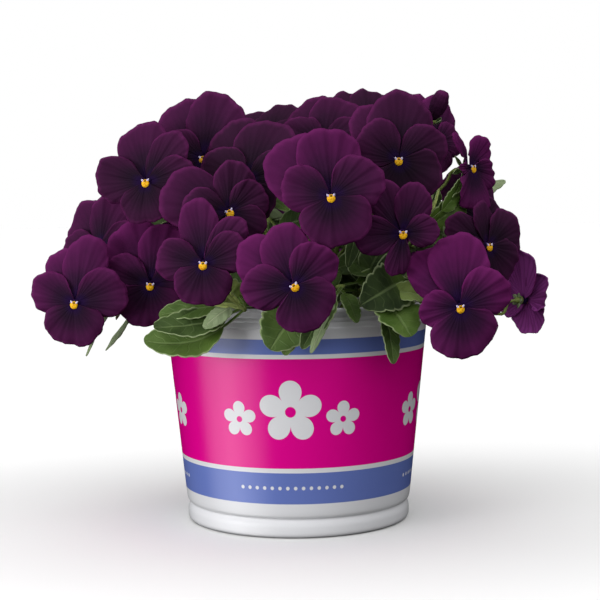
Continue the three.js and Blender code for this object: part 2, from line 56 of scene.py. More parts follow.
# Light: the dome's brightest direction, the cosines between which it changes and its levels
# there, and the panels, each with its name, place, target, width, height and power, in metres.
DOME_AXIS = (-0.05, -0.3, 1.0)
DOME_COSINES = (-0.1, 1.0)
DOME_LEVELS = (0.0, 1.5)
PANELS = [
    ("key_left", (-1.22, -0.95, 0.24), (0, 0, 0.12), 0.8, 0.44, 13.5),
    ("fill_right", (1.3, -0.6, 0.3), (0, 0, 0.1), 0.9, 0.5, 1.5),
    ("fill_front", (0.1, -1.6, 0.9), (0, 0, 0.15), 1.2, 1.0, 0.8),
]

# The highlight on the label fades out to both sides, so its light is a stack of panels of one
# height: each one's width, its power, and how far it stands from the pot.
GLINT_PLACE = (-0.83, -0.42, -0.2)
GLINT_TARGET = (0, 0, 0.06)
GLINT_HEIGHT = 1.4
GLINT_STEPS = [(0.33, 2.1, 1.0), (0.78, 5.0, 1.01), (1.2, 7.6, 1.02)]

# Tub, as in the part.
RIM_TOP = 139
PRINT_TOP = (82.6, 120.9)
PRINT_BOTTOM = (72.4, 21.2)
COLLAR_STEP_HEIGHT = 127.2
WALL = 1.6
FLOOR_HEIGHT = 4.6
FLOOR_RADIUS = 64.2
DRAIN_HOLES = 6
DRAIN_HOLE_RADIUS = 4.5
DRAIN_CIRCLE = 45.5
DRILL_HEIGHT = 4
DRILL_LENGTH = 20
TUB_SEGMENTS = 144
SHARP_ANGLE = 50

# Printed bands: the heights of their edges, how soft those are, and the radius, in metres,
# beyond which the print starts.
LOWER_BLUE = (21.2, 40.3)
PINK = (43.1, 109.3)
UPPER_BLUE = (111.9, 120.9)
BAND_EDGE = 0.1
PRINT_FROM = (0.0714, 0.0718)

# Motifs on the bands: a large blossom between two small ones, and a row of dots.
MOTIF_HEIGHT = 77.5
MOTIF_REPEATS = 4
MOTIF_AZIMUTH = -3.0
LABEL_RADIUS = 78.0
BLOSSOM_RADIUS = 19.0
SMALL_BLOSSOM_RADIUS = 11.0
SMALL_BLOSSOM_AWAY = 32.0
SMALL_BLOSSOM_DROP = 5.0
BLOSSOM_EDGE = 0.12
DOT_HEIGHT = 31.0
DOT_PITCH = 5.0
DOT_RADIUS = 1.125
DOT_EDGE = 0.125
DOT_ROW = 35.0

# Growing mix.
MIX_EDGE_HEIGHT = 124
MIX_CROWN_HEIGHT = 130
MIX_GAP = 0.3
MIX_SINK = 1.2
MIX_BUMP = 1.3
CRUMBS = 420
CRUMB_REACH = 0.96
CRUMB_SIZES = (0.6, 1.9)
PERLITE_EVERY = 9

# Stems and leaves. The inner leaves end inside half an ellipsoid on the mix, and clear of the
# flowers by a share of their size to the sides and by a range of depths.
STEM_ROOT_HEIGHT = 117
STEM_RADIUS = 1.7
LAST_LEAF = 0.98
LEAF_THICKNESS = 0.45
LEAF_TEETH = 6.5
LEAF_RIPPLE = 0.04
LEAF_QUILT = 0.16
LEAF_GROOVE = 0.25
LEAF_GRID = (44, 15)
PETIOLE_HALF_WIDTH = 0.9
INNER_LEAF_GRID = (12, 9)
INNER_LEAVES = 6
INNER_TRIES = 240
INNER_REACH = (92, 88)
INNER_LENGTHS = (24, 52)
INNER_WIDTHS = (15, 23)
FLOWER_ROOM = 1.3
FLOWER_DEPTHS = (-14, 12)

# Flower stalks and the green cups behind the flowers. A flower above HIGH_FLOWER is carried by
# a stem nearer the middle.
HIGH_FLOWER = 200
STALK_RADIUS = 1.0
CUP = [(0, -10.2), (0.9, -10), (1.3, -9.2), (2.1, -7.4), (2.8, -5.6), (2.6, -4.9), (0, -4.8)]
SEPALS = 5
SEPAL_LENGTH = 8
SEPAL_HALF_WIDTH = 1.7
SEPAL_THICKNESS = 0.35

# Petals.
PETAL_THICKNESS = 0.35
PETAL_ROWS = 18
PETAL_COLUMNS = 41
PETAL_ROOT = 0.05
OUTLINE_ARC = 84
SWELL = 1.3
RUFFLE = 0.95
PLEAT = 0.3
CREASE = 0.5
ROLL_BACK = 1.3
ROLL_FROM = 0.8

# Waves in the petals: how fast each one turns, its share of the phase and its height.
MARGIN_WAVES = [(7, 1, 0.024), (19, 1, 0.01), (41, 1, 0.005)]
SWELL_WAVES = [(3, 2.4, 1), (2, 1.7, 0.7), (5, 3.1, 0.4)]
RUFFLE_WAVES = [(9, 1.3, 1), (23, 1, 0.4)]
PLEAT_WAVES = [(24, 1, 1), (11, -1, 0.6)]

# The middle of a bloom: the core that joins its petals, and knobs for its eye, its throat and
# its two white tufts, each with its material, tilt in degrees, half sizes and place.
CORE = [(0, -4.6), (2.6, -4.6), (2.4, -2), (1.6, 0.6), (0, 1)]
KNOB = [(0, -1), (0.6, -0.8), (0.92, -0.4), (1, 0), (0.9, 0.45), (0.6, 0.8), (0.25, 0.96), (0, 1)]
KNOBS = [
    ("eye", 0, (2.4, 2.4, 0.8), (0, -1.1, 1.2)),
    ("throat", 0, (0.8, 0.7, 0.6), (0, 0.3, 1.6)),
    ("beard", -52, (1.4, 0.7, 0.55), (-1.45, 0.45, 1.2)),
    ("beard", 52, (1.4, 0.7, 0.55), (1.45, 0.45, 1.2)),
]

# Buds: heights and radii, and the rings and sides of the mesh.
BUD = [(-4.6, 2.2), (-3, 3.2), (0, 4.6), (4, 5.4), (8, 5.2), (11.5, 4.2), (13, 2.8), (13.5, 0.6)]
BUD_RINGS = 34
BUD_SIDES = 30


def around(azimuth, radius, height):
    a = math.radians(azimuth)
    return [radius * math.sin(a), -radius * math.cos(a), height]


def pansy(at, face, turn, size, light=0.5, petals=((),) * 5, **more):
    return dict(at=at, face=face, turn=turn, size=size, light=light, petals=petals, **more)


def blade(start, tip, width, outward=0.5, **more):
    return dict(start=start, tip=tip, width=width, outward=outward, **more)


# The five petals as seen from in front: each one's turn clockwise from straight up and half
# its angular width, in degrees, its length in half widths of the bloom, how square its outer
# end is, the layer that it lies in, in mm, how it leans and curls forward, in degrees, its
# share of the bloom's lightness, and how deep the notch in its outer end is.
PETALS = [
    dict(turn=-25, spread=60, length=1.36, round=0.48, layer=-3.1, lean=-5, curl=-7, light=1.0),
    dict(turn=25, spread=60, length=1.34, round=0.48, layer=-1.9, lean=-3, curl=-6, light=1.0),
    dict(turn=-74, spread=60, length=1.0, round=0.42, layer=-0.7, lean=2, curl=-5, light=0.72),
    dict(turn=74, spread=60, length=1.0, round=0.42, layer=-0.7, lean=2, curl=-5, light=0.72),
    dict(turn=180, spread=80, length=0.93, round=0.28, layer=0.5, lean=6, curl=-6, light=0.62,
         notch=0.05),
]

# Each bloom: the place of its eye, the azimuth and elevation that it faces, the clockwise turn
# of its petals, its half width, how light it is, and where its petals differ from the plain
# ones, their turns, spreads, lengths and how square they are. How light a bloom is stands partly
# for its own tone and partly for painted light and shade: blooms in shade get darker petals and
# blooms in light lighter ones. One has its petals bent forward, by degrees, and one has short
# sepals.
BLOOMS = [
    pansy([-131, -72, 143], [-10, -3], 7, 29.5, 0.65, [
        (-32, 42, 1.16), (5, 50, 1.38, 0.75), (-73, 50, 1.0), (60, 54, 1.08), (180, 78, 0.9)]),
    pansy([-122, -30, 174], [-20, 8], -6, 30, 0.35, [
        (-36, 60, 1.18, 0.4), (18, 52, 1.1), (-82, 50, 0.9), (78, 50, 0.95), (180, 78, 0.9)]),
    pansy([-87, -78, 214], [-14, 6], -5, 29, 0.26, [
        (-6, 48, 1.34), (36, 40, 1.2), (-78, 46, 1.14), (78, 44, 1.0), (186, 64, 0.88)]),
    pansy([-87, -64, 153], [4, -10], 5, 29.5, 0.7),
    pansy([-52, -112, 167], [-4, 0], 2, 27, 0.38, [
        (-13, 42, 1.4, 0.62), (38, 36, 1.27, 0.7), (-84, 50, 1.04), (68, 50, 1.02),
        (183, 78, 0.9)]),
    pansy([-55, -54, 228], [-6, 6], -7, 29.5, 0.3, [
        (-26, 52, 1.44), (22, 54, 1.44), (-60, 52, 0.95), (78, 48, 0.8), (180, 72, 0.9)]),
    pansy([-38, -92, 196], [12, 4], -24, 27, 0.2, [
        (-38, 54, 1.5), (36, 50, 1.16), (-56, 50, 1.02), (84, 52, 0.98), (166, 70, 0.9)]),
    pansy([-28, -74, 215], [-8, 6], 4, 29, 0.02),
    pansy([-1, -126, 155], [3, -4], -33, 27, 0.7, [
        (-20, 54, 1.38), (16, 50, 1.3), (-65, 52, 1.07), (76, 58, 1.07), (174, 74, 1.0)]),
    pansy([20, -120.2, 204], [3, 4], -4, 31, 0.6, [
        (-46, 60, 1.4), (6, 58, 1.28), (-70, 54, 0.94), (64, 56, 1.03), (174, 78, 0.96)]),
    pansy([-17, 8, 243], [-6, 36], -6, 27, 0.02),
    pansy([17, -46, 236], [-2, 22], 6, 28, 0.25),
    pansy([48, 4, 252], [6, 36], -8, 25, 0.05),
    pansy([60, -86, 225], [6, -2], 0, 29, 0.2, [
        (-32, 54, 1.28), (6, 60, 1.4), (-54, 62, 0.96), (70, 58, 1.06), (158, 88, 1.0)]),
    pansy([61, -104, 183], [8, -4], 0, 25.5, 0.4, [
        (-24, 44, 1.3, 0.8), (28, 46, 1.16), (-98, 48, 1.08), (86, 50, 0.84),
        (188, 32, 1.0, 0.5)]),
    pansy([94, -98, 140], [8, -4], -4, 29, 1.1, [
        (-32, 46, 1.34), (8, 52, 1.46), (-92, 56, 0.8), (64, 54, 1.1), (170, 70, 1.05)]),
    pansy([88, -28, 237], [34, 14], 4, 26, 0.56, [
        (-25, 60, 1.36), (25, 60, 1.34), (-74, 60, 1.0), (74, 56, 0.94), (192, 66, 0.76)]),
    pansy([115, -62, 174], [40, 0], 0, 24, 0.15, [
        (-54, 44, 1.26), (10, 48, 1.15), (-100, 44, 0.92), (70, 52, 1.34), (146, 70, 1.2)]),
    pansy([108, -40, 221], [48, 4], 0, 20, 0.98, [
        (-10, 14, 1.15), (50, 50, 1.3), (-96, 34, 0.6), (106, 48, 1.2), (192, 58, 1.4)], back=-5),
    pansy([116, -18, 189], [44, 8], 10, 25, 0.24, [
        (-26, 58, 1.42), (26, 56, 1.4), (-74, 58, 1.1), (74, 58, 1.1), (180, 80, 1.0)]),
    pansy([143, -30.3, 139.4], [122, 0], 12, 24.2, 1.2, sepals=0.42),
    pansy(around(-98, 138, 150), [-98, 4], 8, 29),
    pansy(around(-128, 132, 158), [-126, 6], -10, 28),
    pansy(around(-160, 130, 150), [-160, 2], 5, 29),
    pansy(around(168, 134, 160), [168, 6], -12, 29),
    pansy(around(138, 132, 152), [138, 2], 14, 28),
    pansy(around(110, 128, 176), [106, 10], -4, 27),
    pansy(around(-106, 106, 206), [-106, 18], -14, 29),
    pansy(around(-144, 104, 204), [-144, 22], 12, 28),
    pansy(around(178, 104, 208), [178, 22], -6, 29),
    pansy(around(142, 104, 206), [142, 20], 6, 28),
    pansy(around(-148, 66, 228), [-150, 44], 10, 27),
    pansy(around(144, 68, 233), [144, 42], -8, 27),
]

BUDS = [
    dict(at=[84, -60, 254], face=[52, 62]),
    dict(at=around(-170, 76, 240), face=[-160, 50]),
]

# Leafy stems: each one's root, as an azimuth and a radius, two higher points with their heights,
# and its leaves. A leaf has its start as a share of the stem's length above the mix, its tip,
# its width and how far its upper face leans outward. Some have the roll about the midrib in
# degrees, the heights of the arch and of the sideways bend as shares of the length, how light
# the leaf is, the share of it that is stalk, and how far its halves fold up. How light a leaf is
# stands partly for its own tone and partly for painted light and shade: leaves in shade are
# darker and leaves in light lighter.
STEMS = [
    ([(-68, 42), (-70, 64, 146), (-70, 92, 150)], [
        blade(1, [-117, -45, 112], 13, 2, roll=180, arch=-0.04, tint=1),
        blade(1, [-127, -58, 110], 10, 2, roll=180, arch=-0.2, bend=0.1, tint=1),
        blade(0.5, around(-88, 104, 146), 20),
    ]),
    ([(-38, 42), (-31, 62, 146), (-19, 92, 139)], [
        blade(1, [-89, -84, 121], 26, 2.4, arch=-0.04, bend=-0.15, tint=0.7),
        blade(0.94, [-82, -96, 130], 23, 2, arch=0.04, bend=-0.13, tint=0.2),
        blade(0.92, [-80, -85, 136], 18, 1.6, bend=-0.06, tint=0.6),
        blade(0.97, [-53, -101, 130], 11, 1.4, roll=160, arch=-0.25, tint=1, stalk=0.4),
        blade(0.98, [-42, -95, 153], 4.2, 4, arch=0.05, tint=1.6),
        blade(1, [-48, -97, 143], 3.6, 4, arch=0.16, tint=1.6),
        blade(0.8, [-49, -86, 157], 19, 3, tint=1.3, stalk=0.15),
    ]),
    ([(-8, 42), (0, 62, 146), (6, 86, 148)], [
        blade(1, [-15, -102, 117], 32, 2.6, arch=0.08, tint=0.5),
        blade(0.9, [-7, -94, 113], 14, 3, tint=0.8),
        blade(0.55, [-24, -84, 158], 16),
        blade(0.9, [10, -102, 180], 16, 1, tint=0.1),
    ]),
    ([(18, 44), (20, 62, 148), (18, 88, 152)], [
        blade(1, [3, -109, 118], 14, 2, arch=0.1, tint=0.2, fold=0.4),
        blade(0.96, [8, -112, 116], 7, 2, arch=-0.14, roll=180, tint=1),
        blade(0.8, [35, -91, 131], 11, 2.6, tint=0.6, stalk=0.3),
    ]),
    ([(40, 42), (38, 62, 147), (31, 93, 147)], [
        blade(1, [66, -94, 123], 33, 3.2, arch=0.06, tint=1, stalk=0.08),
        blade(0.9, [56, -91, 107], 12.5, 4, arch=0.1, tint=0.4, stalk=0.4),
        blade(0.95, [80, -81, 144], 14, 2.4, tint=1.2),
    ]),
    ([(62, 42), (56, 62, 152), (46, 92, 155)], [
        blade(1, [37, -100, 142], 30, 3, arch=0.1, tint=0.0, stalk=0.1),
        blade(0.8, [80, -70, 146], 16, 2, tint=0.3),
    ]),
    ([(84, 42), (72, 62, 156), (52, 96, 186)], [
        blade(1, [101, -46, 214], 12, 3, tint=1, stalk=0.4),
        blade(0.97, [106, -42, 206], 18, 2.6, tint=0.7, stalk=0.12),
        blade(0.95, [85, -55, 209], 16, 3, tint=0.2, stalk=0.1),
        blade(1, [86, -58, 209], 3.6, 3, arch=0.06, tint=1.6),
        blade(0.92, [88, -62, 173], 20, 2.6, tint=1, stalk=0.1),
        blade(0.7, [92, -57, 182], 22, 2, tint=0.5),
    ]),
    ([(106, 42), (100, 62, 160), (94, 90, 184)], [
        blade(1, [137, 22, 214], 14, 1.2, roll=180, arch=-0.12, tint=1),
        blade(0.6, around(88, 116, 146), 20, 0.8),
    ]),
    ([(132, 42), (130, 62, 144), (122, 90, 148)], [
        blade(1, around(112, 118, 122), 20, 1.5),
        blade(0.7, around(142, 110, 138), 17),
    ]),
    ([(160, 42), (160, 62, 144), (158, 88, 147)], [
        blade(1, around(160, 118, 122), 20, 1.5),
        blade(0.7, around(176, 108, 142), 17),
    ]),
    ([(-168, 42), (-166, 62, 144), (-160, 88, 147)], [
        blade(1, around(-158, 118, 122), 19, 1.5),
        blade(0.6, around(-176, 108, 154), 15),
    ]),
    ([(-136, 42), (-134, 62, 144), (-128, 88, 148)], [
        blade(1, around(-126, 118, 124), 20, 1.5),
        blade(0.7, around(-146, 110, 140), 17),
    ]),
    ([(-102, 42), (-102, 62, 146), (-98, 86, 150)], [
        blade(1, around(-96, 118, 126), 18, 1.5),
        blade(0.7, around(-116, 108, 144), 15),
    ]),
    ([(-40, 15), (-40, 24, 165), (-34, 36, 198)], [
        blade(0.6, [-62, -44, 186], 14),
        blade(1, [-4, -76, 196], 12, 1),
        blade(0.9, [-30, -52, 216], 15, 2, tint=0.3),
        blade(0.85, [-93, -50, 184], 26, tint=0.1),
    ]),
    ([(70, 15), (66, 26, 165), (50, 44, 196)], [
        blade(1, [30, -86, 163], 12, 2, arch=0.2),
        blade(0.8, [70, 2, 206], 14),
        blade(0.95, [44, -80, 208], 16, 1, tint=0.1),
        blade(0.9, [40, 24, 224], 16),
    ]),
    ([(180, 16), (180, 26, 165), (180, 36, 196)], [
        blade(0.6, around(160, 72, 180), 14),
        blade(1, around(-150, 74, 204), 13),
        blade(0.9, [-38, 34, 222], 16),
        blade(0.95, [22, 52, 226], 15),
    ]),
]


def srgb(red, green, blue):
    """A colour as the linear numbers that shaders take."""
    def linear(value):
        share = value / 255
        return share / 12.92 if share <= 0.04045 else ((share + 0.055) / 1.055) ** 2.4
    return (linear(red), linear(green), linear(blue), 1.0)


class Graph:
    """A new material, with short calls that add nodes and return their outputs."""

    def __init__(self, name, roughness, specular=0.5, **shader):
        self.material = bpy.data.materials.new(name)
        self.material.use_nodes = True
        self.tree = self.material.node_tree
        self.shader = self.tree.nodes["Principled BSDF"]
        shader.update({"Roughness": roughness, "Specular IOR Level": specular})
        for socket, value in shader.items():
            self.put(self.shader.inputs[socket.replace("_", " ")], value)
        self.object_place = self.node("ShaderNodeTexCoord").outputs["Object"]

    def node(self, kind, values=(), **settings):
        """A new node, with values in its first sockets."""
        node = self.tree.nodes.new(kind)
        for key, value in settings.items():
            setattr(node, key, value)
        for socket, value in zip(node.inputs, values):
            self.put(socket, value)
        return node

    def put(self, socket, value):
        if isinstance(value, bpy.types.NodeSocket):
            self.tree.links.new(value, socket)
        else:
            socket.default_value = value

    def math(self, operation, *values):
        return self.node("ShaderNodeMath", values, operation=operation).outputs[0]

    def plus(self, first, second):
        return self.math("ADD", first, second)

    def minus(self, first, second):
        return self.math("SUBTRACT", first, second)

    def times(self, first, second):
        return self.math("MULTIPLY", first, second)

    def distance(self, right, up):
        """How far a place is from right = up = 0."""
        return self.math("SQRT", self.plus(self.times(right, right), self.times(up, up)))

    def mix(self, share, first, second):
        node = self.node("ShaderNodeMix", data_type="RGBA")
        self.put(node.inputs[0], share)
        self.put(node.inputs[6], first)
        self.put(node.inputs[7], second)
        return node.outputs[2]

    def ease(self, value, low, high, to_low=0.0, to_high=1.0):
        values = (value, low, high, to_low, to_high)
        return self.node("ShaderNodeMapRange", values, interpolation_type="SMOOTHSTEP").outputs[0]

    def under(self, value, limit, soft):
        """1 under the limit and 0 over it, with a soft edge."""
        return self.ease(value, limit - soft, limit + soft, 1.0, 0.0)

    def between(self, value, low, high, soft):
        """1 between low and high and 0 outside them, with soft edges."""
        rising = self.ease(value, low - soft, low + soft)
        return self.times(rising, self.under(value, high, soft))

    def noise(self, scale, detail=3.0, roughness=0.55):
        values = (self.object_place, 0.0, scale, detail, roughness)
        return self.node("ShaderNodeTexNoise", values).outputs["Fac"]

    def split(self, vector):
        return self.node("ShaderNodeSeparateXYZ", [vector]).outputs

    def attribute(self, name):
        node = self.node("ShaderNodeAttribute", attribute_type="GEOMETRY", attribute_name=name)
        return node.outputs

    def bump(self, height, distance):
        node = self.node("ShaderNodeBump")
        self.put(node.inputs["Strength"], 1.0)
        self.put(node.inputs["Distance"], distance)
        self.put(node.inputs["Height"], height)
        self.put(self.shader.inputs["Normal"], node.outputs[0])

    def colour(self, value):
        self.put(self.shader.inputs["Base Color"], value)


def petal_material():
    g = Graph("velvet_petal", 0.8, 0.03, Sheen_Weight=0.06, Sheen_Roughness=0.4,
              Sheen_Tint=srgb(190, 40, 170))
    across, out, front = g.split(g.attribute("place")["Vector"])
    # Each petal's lightness, from its bloom's and its own share: partly its own tone and partly
    # painted light and shade.
    light = g.attribute("tint")["Fac"]
    outer = g.mix(light, srgb(45, 23, 42), srgb(95, 27, 83))
    inner = g.mix(light, srgb(31, 21, 31), srgb(43, 22, 48))
    spread = g.plus(out, g.times(g.minus(g.noise(60.0), 0.5), 0.5))
    body = g.mix(g.ease(spread, 0.2, 1.05), inner, outer)
    # Dark radial streaks: faint veins, and painted shade in the pleats of the petal.
    warp = g.times(g.noise(160.0, 2.0), 2.2)
    veins_and_pleat_shade = g.math("SINE", g.plus(g.times(across, 46.0), warp))
    shade = g.times(g.ease(veins_and_pleat_shade, -0.2, 1.0), g.ease(out, 1.0, 0.3, 0.04, 0.15))
    body = g.mix(shade, body, srgb(18, 9, 21))
    # A lighter margin: painted sheen, where the velvet catches the light at the petal's edge.
    rim = g.ease(g.plus(out, g.times(veins_and_pleat_shade, 0.01)), 0.9, 1.0, 0.0, 0.24)
    body = g.mix(rim, body, srgb(128, 42, 110))
    body = g.mix(g.ease(out, 0.1, 0.34, 0.6, 0.0), body, srgb(34, 15, 64))
    # Paler backs, made lighter on blooms in light, which is painted light, and streaked with
    # painted pleat shade.
    behind = g.mix(light, srgb(58, 22, 54), srgb(148, 66, 146))
    behind = g.mix(g.ease(veins_and_pleat_shade, 0.0, 1.0, 0.0, 0.3), behind, srgb(60, 18, 56))
    g.colour(g.mix(front, behind, body))
    grain = g.times(g.noise(1500.0, 2.0), 0.35)
    g.bump(g.plus(grain, g.times(veins_and_pleat_shade, 0.3)), 0.0002)
    return g.material


def mottled_material(name, roughness, specular, scale, spread, first, second):
    """Two colours in a fine mottle, for the small parts in the middle of a bloom."""
    g = Graph(name, roughness, specular)
    mottle = g.noise(scale, 2.0)
    if spread:
        mottle = g.ease(mottle, *spread)
    g.colour(g.mix(mottle, srgb(*first), srgb(*second)))
    g.bump(mottle, 0.0002)
    return g.material


def leaf_material():
    g = Graph("pansy_leaf", 0.5, 0.3)
    across, along, front = g.split(g.attribute("place")["Vector"])
    tint = g.attribute("tint")["Fac"]
    side = g.math("ABSOLUTE", across)
    drift = g.noise(70.0)
    patches = g.ease(drift, 0.3, 0.7)
    # How light a leaf is: partly its own tone and partly painted light and shade, darker for
    # leaves in shade.
    dark = g.mix(patches, srgb(38, 52, 27), srgb(55, 73, 36))
    bright = g.mix(patches, srgb(72, 100, 36), srgb(97, 124, 56))
    upper = g.mix(tint, dark, bright)
    upper = g.mix(g.ease(along, 0.2, 0.55, 0.45, 0.0), upper, srgb(104, 136, 44))
    upper = g.mix(g.ease(tint, 1.0, 1.6), upper, srgb(190, 206, 120))
    rib_warp = g.times(g.noise(120.0, 1.0), 0.14)
    slant = g.minus(along, g.times(side, 0.12))
    wave = g.math("SINE", g.times(g.plus(slant, rib_warp), 52.0))
    ribs = g.times(g.ease(wave, 0.86, 1.0), g.ease(side, 0.95, 0.6))
    midrib = g.ease(side, 0.03, 0.1, 1.0, 0.0)
    lines = g.math("MAXIMUM", midrib, g.times(ribs, 0.3))
    upper = g.mix(g.times(lines, 0.25), upper, srgb(150, 172, 112))
    # A paler margin: partly the leaf's own pale edge and partly a painted highlight along it.
    upper = g.mix(g.ease(side, 0.88, 1.0, 0.0, 0.7), upper, srgb(170, 186, 136))
    lower = g.mix(patches, srgb(120, 138, 96), srgb(142, 158, 120))
    lower = g.mix(g.times(lines, 0.6), lower, srgb(178, 190, 150))
    g.colour(g.mix(front, lower, upper))
    relief = g.minus(g.times(drift, 0.5), lines)
    g.bump(g.plus(relief, g.times(g.noise(900.0, 2.0), 0.25)), 0.0004)
    return g.material


def stem_material():
    g = Graph("pansy_stem", 0.5, 0.3)
    g.colour(g.mix(g.ease(g.noise(90.0), 0.3, 0.7), srgb(106, 124, 58), srgb(140, 156, 84)))
    g.bump(g.noise(700.0, 2.0), 0.0003)
    return g.material


def mix_material():
    g = Graph("growing_mix", 0.95, 0.1)
    coarse = g.ease(g.noise(260.0, 4.0, 0.7), 0.3, 0.7)
    soil = g.mix(coarse, srgb(34, 24, 18), srgb(74, 54, 38))
    g.colour(g.mix(g.ease(g.noise(900.0, 2.0), 0.62, 0.7), soil, srgb(112, 84, 56)))
    g.bump(g.noise(600.0, 5.0, 0.75), 0.0012)
    return g.material


def perlite_material():
    g = Graph("perlite", 0.85)
    g.colour(g.mix(g.noise(800.0), srgb(196, 190, 178), srgb(232, 228, 220)))
    g.bump(g.noise(1500.0), 0.0004)
    return g.material


def blossom_mask(g, right, up, radius):
    """1 inside a plain five-petalled blossom of that radius round right = up = 0."""
    distance = g.distance(right, up)
    turn = g.math("ARCTAN2", right, up)
    lobes = g.math("ABSOLUTE", g.math("COSINE", g.times(turn, 2.5)))
    reach = g.plus(0.42, g.times(g.math("POWER", lobes, 0.55), 0.58))
    inside = g.under(g.minus(distance, g.times(reach, radius)), 0, BLOSSOM_EDGE)
    hole = radius * 0.17
    return g.times(inside, g.ease(distance, hole - BLOSSOM_EDGE, hole + BLOSSOM_EDGE))


def tub_material():
    g = Graph("printed_tub", 0.26, 0.4)
    x, y, z = g.split(g.object_place)
    height = g.times(z, 1 / MM)
    outside = g.ease(g.distance(x, y), *PRINT_FROM)
    white = g.mix(g.noise(30.0), srgb(226, 226, 229), srgb(220, 221, 225))
    blue = g.mix(g.noise(30.0), srgb(104, 122, 190), srgb(98, 116, 184))
    pink = g.mix(g.noise(30.0), srgb(226, 0, 142), srgb(219, 0, 136))
    azimuth = g.math("ARCTAN2", x, g.times(y, -1.0))
    pitch = 2 * math.pi / MOTIF_REPEATS
    shifted = g.minus(azimuth, math.radians(MOTIF_AZIMUTH) - pitch / 2)
    share = g.math("FRACT", g.math("DIVIDE", g.plus(shifted, 4 * pitch), pitch))
    right = g.times(g.minus(share, 0.5), pitch * LABEL_RADIUS)
    side = g.math("ABSOLUTE", right)
    up = g.minus(height, MOTIF_HEIGHT)
    small = blossom_mask(g, g.minus(side, SMALL_BLOSSOM_AWAY), g.plus(up, SMALL_BLOSSOM_DROP),
                         SMALL_BLOSSOM_RADIUS)
    motif = g.math("MAXIMUM", blossom_mask(g, right, up, BLOSSOM_RADIUS), small)
    dot_share = g.math("FRACT", g.math("DIVIDE", g.plus(right, 40 * DOT_PITCH), DOT_PITCH))
    dot_right = g.times(g.minus(dot_share, 0.5), DOT_PITCH)
    dot_distance = g.distance(dot_right, g.minus(height, DOT_HEIGHT))
    dots = g.times(g.under(dot_distance, DOT_RADIUS, DOT_EDGE), g.under(side, DOT_ROW, BAND_EDGE))
    in_pink = g.between(height, *PINK, BAND_EDGE)
    in_blue = g.math("MAXIMUM", g.between(height, *LOWER_BLUE, BAND_EDGE),
                     g.between(height, *UPPER_BLUE, BAND_EDGE))
    printed = g.mix(in_pink, white, g.mix(motif, pink, white))
    printed = g.mix(in_blue, printed, g.mix(dots, blue, white))
    g.colour(g.mix(outside, white, printed))
    g.bump(g.noise(420.0, 2.0), 0.00004)
    return g.material


MATERIALS = dict(
    petal=petal_material(),
    eye=mottled_material("petal_eye", 0.55, 0.3, 900.0, (0.3, 0.75),
                         (252, 200, 24), (226, 146, 12)),
    beard=mottled_material("petal_beard", 0.7, 0.2, 1300.0, (0.35, 0.7),
                           (228, 220, 238), (172, 154, 214)),
    throat=mottled_material("petal_throat", 0.6, 0.2, 1300.0, None,
                            (92, 66, 20), (134, 100, 30)),
    leaf=leaf_material(),
    stem=stem_material(),
    mix=mix_material(),
    perlite=perlite_material(),
    tub=tub_material(),
)


def new_object(name, data):
    obj = bpy.data.objects.new(name, data)
    bpy.context.scene.collection.objects.link(obj)
    return obj


class Shape:
    """Vertices in millimetres and faces, gathered from several surfaces of one piece."""

    def __init__(self, *materials):
        self.materials = materials
        self.points = []
        self.faces = []
        self.face_materials = []
        self.places = []
        self.tints = []
        self.count = 0

    def add(self, points, faces, material=None, places=None, tint=0.0):
        """Adds a surface. Its material is the first one unless another is named."""
        points = np.asarray(points, float).reshape(-1, 3)
        self.points.append(points)
        self.faces.extend([tuple(self.count + i for i in face) for face in faces])
        number = self.materials.index(material) if material else 0
        self.face_materials.extend([number] * len(faces))
        if places is None:
            places = np.zeros((len(points), 3))
        self.places.append(np.asarray(places, float).reshape(-1, 3))
        self.tints.append(np.full(len(points), tint))
        self.count += len(points)

    def piece(self, name, nodes):
        """Makes the object, in metres, which stands for those nodes of the part."""
        mesh = bpy.data.meshes.new(name)
        mesh.from_pydata((np.vstack(self.points) * MM).tolist(), [], self.faces)
        for material in self.materials:
            mesh.materials.append(MATERIALS[material])
        mesh.polygons.foreach_set("material_index", self.face_materials)
        mesh.polygons.foreach_set("use_smooth", [True] * len(self.faces))
        place = mesh.attributes.new("place", "FLOAT_VECTOR", "POINT")
        place.data.foreach_set("vector", np.vstack(self.places).ravel())
        tint = mesh.attributes.new("tint", "FLOAT", "POINT")
        tint.data.foreach_set("value", np.concatenate(self.tints))
        mesh.update()
        obj = new_object(name, mesh)
        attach(obj, "root")
        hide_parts(*nodes)
        return obj


def unit(vector):
    return vector / np.linalg.norm(vector)


def circle(radius, segments, height=0.0):
    """Points of a level circle round the Z axis. The radius may differ from point to point."""
    turns = np.arange(segments) * 2 * math.pi / segments
    return np.stack([radius * np.cos(turns), radius * np.sin(turns), np.full(segments, height)], 1)


def tube_faces(rings, sides):
    """The faces of a tube of rings of points, with its two ends."""
    faces = []
    last = (rings - 1) * sides
    for first in range(0, last, sides):
        for k in range(sides):
            a, b = first + k, first + (k + 1) % sides
            faces.append((a, b, b + sides, a + sides))
    return faces + [tuple(range(sides - 1, -1, -1)), tuple(range(last, last + sides))]


def grid_normals(points):
    along = np.gradient(points, axis=0)
    across = np.gradient(points, axis=1)
    normals = np.cross(across, along)
    return normals / np.maximum(np.linalg.norm(normals, axis=2, keepdims=True), 1e-9)


